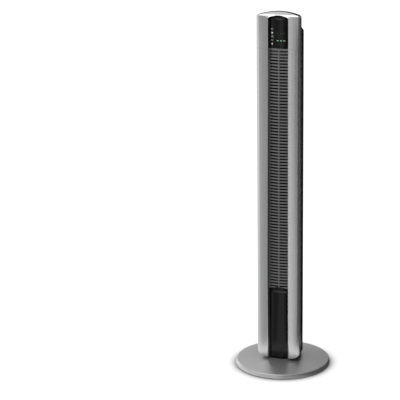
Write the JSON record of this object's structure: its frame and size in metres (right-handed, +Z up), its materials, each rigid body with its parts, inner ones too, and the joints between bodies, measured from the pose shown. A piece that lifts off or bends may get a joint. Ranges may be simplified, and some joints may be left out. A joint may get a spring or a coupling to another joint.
{
  "type": "tower fan",
  "caption": "Tall slim tower fan on a round domed base, with a recessed louvred outlet strip, control head, swinging column and cross-flow blower.",
  "frame": {"origin": "centre of the round base on the floor, under the swing axis", "axes": "+Z up along the swing axis, -Y out of the air outlet at the front, +X to the right of someone facing the front"},
  "size_m": [0.32, 0.32, 1.219],
  "materials": {
    "silver_paint": "satin silver paint over a moulded shell",
    "rubber": "matt black rubber",
    "steel": "zinc-plated steel",
    "black_plastic": "fine-textured black",
    "wheel_plastic": "grey moulded wheel",
    "grille_grey": "satin dark grey",
    "gloss_black": "polished black",
    "smoked_window": "smoked, slightly green",
    "light_pipe": "clear light pipe with a green glow",
    "button_white": "pale grey caps",
    "acetal": "natural acetal",
    "circuit_board": "green solder mask",
    "bronze": "sintered bronze"
  },
  "bodies": {
    "base": {"base_front_half": "silver_paint", "base_rear_half": "silver_paint", "base_feet": "rubber", "base_screws": "steel", "swivel_hub": "black_plastic", "thrust_washer": "acetal", "fixed_sector_gear": "acetal", "retaining_clip": "steel"},
    "column": {"column_foot": "black_plastic", "swivel_bush": "acetal", "swing_bracket": "steel", "swing_motor": "steel", "front_cover": "silver_paint", "rear_housing": "black_plastic", "rear_shoulder": "black_plastic", "intake_grille": "black_plastic", "outlet_grille": "grille_grey", "lower_panel": "gloss_black", "head_casing": "silver_paint", "head_back_cover": "black_plastic", "control_panel": "gloss_black", "display_window": "smoked_window", "indicator_lights": "light_pipe", "control_board": "circuit_board", "button_switches": "gloss_black", "remote_receiver": "gloss_black", "lower_bulkhead": "black_plastic", "upper_bulkhead": "black_plastic", "scroll_wall": "black_plastic", "tongue_wall": "black_plastic", "bearing_bush": "bronze", "bearing_cushion": "rubber", "blower_motor": "steel", "motor_bracket": "steel", "motor_cushions": "rubber", "power_board": "circuit_board", "run_capacitor": "button_white", "ioniser_module": "gloss_black", "cord_gland": "rubber", "column_screws": "steel", "bracket_screws": "steel", "board_screws": "steel", "bulkhead_screws": "steel"},
    "pinion": {"drive_pinion": "acetal"},
    "blower": {"blower_wheel": "wheel_plastic", "drive_shaft": "steel", "top_axle": "steel"},
    "power_push": {"power_button": "button_white"},
    "speed_push": {"speed_button": "button_white"},
    "timer_push": {"timer_button": "button_white"},
    "swing_push": {"swing_button": "button_white"},
    "ioniser_push": {"ioniser_button": "button_white"}
  },
  "joints": [
    {"name": "column_swing", "type": "hinge", "parent": "base", "child": "column", "pos_m": [0, 0, 0.045], "axis": [0, 0, 1], "range_deg": [-35, 35]},
    {"name": "pinion_spin", "type": "hinge", "parent": "column", "child": "pinion", "pos_m": [0, 0.039, 0.055], "axis": [0, 0, 1], "range_deg": [-117, 117]},
    {"name": "blower_spin", "type": "hinge", "parent": "column", "child": "blower", "pos_m": [0, 0.0073, 0.67], "axis": [0, 0, 1], "continuous": true},
    {"name": "power_press", "type": "slide", "parent": "column", "child": "power_push", "axis": [0, 1, 0], "range_m": [0, 0.001], "stiffness_N_per_m": 300, "springref_m": -0.0005},
    {"name": "speed_press", "type": "slide", "parent": "column", "child": "speed_push", "axis": [0, 1, 0], "range_m": [0, 0.001], "stiffness_N_per_m": 300, "springref_m": -0.0005},
    {"name": "timer_press", "type": "slide", "parent": "column", "child": "timer_push", "axis": [0, 1, 0], "range_m": [0, 0.001], "stiffness_N_per_m": 300, "springref_m": -0.0005},
    {"name": "swing_press", "type": "slide", "parent": "column", "child": "swing_push", "axis": [0, 1, 0], "range_m": [0, 0.001], "stiffness_N_per_m": 300, "springref_m": -0.0005},
    {"name": "ioniser_press", "type": "slide", "parent": "column", "child": "ioniser_push", "axis": [0, 1, 0], "range_m": [0, 0.001], "stiffness_N_per_m": 300, "springref_m": -0.0005}
  ],
  "couplings": [
    {"joint": "pinion_spin", "follows": "column_swing", "ratio": 3.3333}
  ]
}
